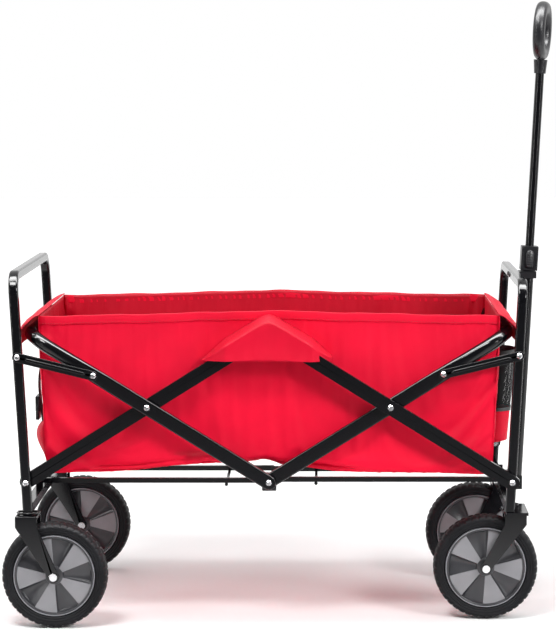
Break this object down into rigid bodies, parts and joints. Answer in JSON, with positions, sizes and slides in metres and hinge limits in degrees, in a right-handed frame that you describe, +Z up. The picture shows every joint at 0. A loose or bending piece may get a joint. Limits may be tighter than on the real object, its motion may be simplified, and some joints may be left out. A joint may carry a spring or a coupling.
{
  "type": "folding wagon",
  "caption": "Folding utility wagon: scissor-frame steel body, fabric tub, swivel and fixed wheels, and a telescoping upright pull handle.",
  "frame": {"origin": "on the ground plane, under the centre hinges, midway between the sides", "axes": "+X towards the pull handle (front), +Y to the left side, +Z up"},
  "size_m": [0.9418, 0.548, 1.0494],
  "materials": {
    "black_steel": "gloss black powder coat",
    "zinc_steel": "bright zinc",
    "tyre_rubber": "moulded rubber",
    "rim_plastic": "satin grey moulding",
    "black_plastic": "textured moulding",
    "red_fabric": "coated woven polyester",
    "floor_mat_fabric": "coated woven polyester over a board",
    "black_mesh": "open mesh",
    "black_webbing": "woven webbing"
  },
  "bodies": {
    "rear_frame": {"rear_frame_tube": "black_steel", "rear_lower_crossbar": "black_steel", "rear_fork_left": "black_steel", "rear_fork_right": "black_steel", "rear_axle_bolts": "zinc_steel", "rear_leg_rivets": "zinc_steel", "tub_side_left": "red_fabric", "tub_side_right": "red_fabric", "tub_end_front": "red_fabric", "tub_end_rear": "red_fabric", "tub_floor": "red_fabric", "floor_mat": "floor_mat_fabric", "lift_strap": "black_webbing", "side_flap_left": "red_fabric", "side_flap_right": "red_fabric", "cup_holder_left": "black_mesh", "cup_holder_right": "black_mesh", "closure_strap": "black_webbing"},
    "rear_wheel_left": {"rear_tyre_left": "tyre_rubber", "rear_rim_left": "rim_plastic"},
    "rear_wheel_right": {"rear_tyre_right": "tyre_rubber", "rear_rim_right": "rim_plastic"},
    "rear_arms": {"rear_arm_left": "black_steel", "rear_arm_right": "black_steel", "rear_arm_rivets": "zinc_steel"},
    "rear_bow": {"rear_bow": "black_steel", "centre_hinge_rivets": "zinc_steel", "centre_hinge_blocks": "black_plastic"},
    "front_arms": {"front_arm_left": "black_steel", "front_arm_right": "black_steel", "front_arm_rivets": "zinc_steel"},
    "front_frame": {"front_frame_tube": "black_steel", "front_lower_crossbar": "black_steel", "caster_housing_left": "black_steel", "caster_housing_right": "black_steel", "front_leg_rivets": "zinc_steel", "handle_bracket": "black_steel", "handle_pivot_bolt": "zinc_steel", "handle_clip": "black_plastic"},
    "front_bow": {"front_bow": "black_steel"},
    "rear_links": {"rear_links": "black_steel", "rear_link_rivets": "zinc_steel"},
    "front_links": {"front_links": "black_steel", "front_link_rivets": "zinc_steel"},
    "rear_rails": {"rear_floor_rails": "black_steel"},
    "front_rails": {"front_floor_rails": "black_steel"},
    "front_caster_left": {"front_fork_left": "black_steel", "front_axle_bolt_left": "zinc_steel"},
    "front_caster_right": {"front_fork_right": "black_steel", "front_axle_bolt_right": "zinc_steel"},
    "front_wheel_left": {"front_tyre_left": "tyre_rubber", "front_rim_left": "rim_plastic"},
    "front_wheel_right": {"front_tyre_right": "tyre_rubber", "front_rim_right": "rim_plastic"},
    "handle": {"handle_outer_tube": "black_steel", "lock_block": "black_plastic"},
    "handle_extension": {"handle_inner_tube": "black_steel", "grip_socket": "black_plastic", "grip_loop": "black_plastic"},
    "lock_button": {"lock_button": "black_plastic"}
  },
  "joints": [
    {"name": "fold", "type": "hinge", "parent": "rear_frame", "child": "rear_arms", "pos_m": [-0.40751, 0, 0.243], "axis": [0, -1, 0], "range_deg": [0, 46.7], "deforming": ["tub_side_left", "tub_side_right", "tub_end_front", "tub_end_rear", "tub_floor", "floor_mat", "lift_strap", "side_flap_left", "side_flap_right", "cup_holder_left", "cup_holder_right", "closure_strap"]},
    {"name": "rear_bow_pivot", "type": "hinge", "parent": "rear_arms", "child": "rear_bow", "pos_m": [-0.20375, 0, 0.36983], "axis": [0, 1, 0], "range_deg": [0, 93.41]},
    {"name": "top_pivot", "type": "hinge", "parent": "rear_arms", "child": "front_arms", "pos_m": [0, 0, 0.49665], "axis": [0, 1, 0], "range_deg": [0, 93.41]},
    {"name": "front_leg_pivot", "type": "hinge", "parent": "front_arms", "child": "front_frame", "pos_m": [0.40751, 0, 0.243], "axis": [0, -1, 0], "range_deg": [0, 46.71]},
    {"name": "front_bow_pivot", "type": "hinge", "parent": "front_arms", "child": "front_bow", "pos_m": [0.20375, 0, 0.36983], "axis": [0, -1, 0], "range_deg": [0, 93.41]},
    {"name": "rear_link_pivot", "type": "hinge", "parent": "rear_frame", "child": "rear_links", "pos_m": [-0.41865, 0, 0.45571], "axis": [0, -1, 0], "range_deg": [0, 86.77]},
    {"name": "front_link_pivot", "type": "hinge", "parent": "front_frame", "child": "front_links", "pos_m": [0.41865, 0, 0.45571], "axis": [0, 1, 0], "range_deg": [0, 86.77]},
    {"name": "rear_rail_pivot", "type": "hinge", "parent": "rear_frame", "child": "rear_rails", "pos_m": [-0.40525, 0, 0.22], "axis": [0, -1, 0], "range_deg": [0, 76.81]},
    {"name": "front_rail_pivot", "type": "hinge", "parent": "front_frame", "child": "front_rails", "pos_m": [0.40525, 0, 0.22], "axis": [0, 1, 0], "range_deg": [0, 76.81]},
    {"name": "rear_wheel_spin_left", "type": "hinge", "parent": "rear_frame", "child": "rear_wheel_left", "pos_m": [-0.35978, 0.24, 0.0889], "axis": [0, 1, 0], "continuous": true},
    {"name": "caster_swivel_left", "type": "hinge", "parent": "front_frame", "child": "front_caster_left", "pos_m": [0.41701, 0.166, 0.185], "axis": [0, 0, 1], "continuous": true},
    {"name": "front_wheel_spin_left", "type": "hinge", "parent": "front_caster_left", "child": "front_wheel_left", "pos_m": [0.36701, 0.166, 0.0889], "axis": [0, 1, 0], "continuous": true},
    {"name": "rear_wheel_spin_right", "type": "hinge", "parent": "rear_frame", "child": "rear_wheel_right", "pos_m": [-0.35978, -0.24, 0.0889], "axis": [0, 1, 0], "continuous": true},
    {"name": "caster_swivel_right", "type": "hinge", "parent": "front_frame", "child": "front_caster_right", "pos_m": [0.41701, -0.166, 0.185], "axis": [0, 0, 1], "continuous": true},
    {"name": "front_wheel_spin_right", "type": "hinge", "parent": "front_caster_right", "child": "front_wheel_right", "pos_m": [0.36701, -0.166, 0.0889], "axis": [0, 1, 0], "continuous": true},
    {"name": "handle_tilt", "type": "hinge", "parent": "front_frame", "child": "handle", "pos_m": [0.43103, 0, 0.211], "axis": [0, 1, 0], "range_deg": [0, 95]},
    {"name": "handle_slide", "type": "slide", "parent": "handle", "child": "handle_extension", "axis": [0.0523, 0, 0.9986], "range_m": [-0.29, 0]},
    {"name": "lock_button_press", "type": "slide", "parent": "handle", "child": "lock_button", "axis": [0, 1, 0], "range_m": [0, 0.003], "stiffness_N_per_m": 300}
  ],
  "couplings": [
    {"joint": "rear_bow_pivot", "follows": "fold", "ratio": 2},
    {"joint": "top_pivot", "follows": "fold", "ratio": 2},
    {"joint": "front_leg_pivot", "follows": "fold", "ratio": 1},
    {"joint": "front_bow_pivot", "follows": "fold", "ratio": 2},
    {"joint": "rear_link_pivot", "follows": "fold", "ratio": 1.8575},
    {"joint": "front_link_pivot", "follows": "fold", "ratio": 1.8575},
    {"joint": "rear_rail_pivot", "follows": "fold", "ratio": 1.6443},
    {"joint": "front_rail_pivot", "follows": "fold", "ratio": 1.6443}
  ]
}
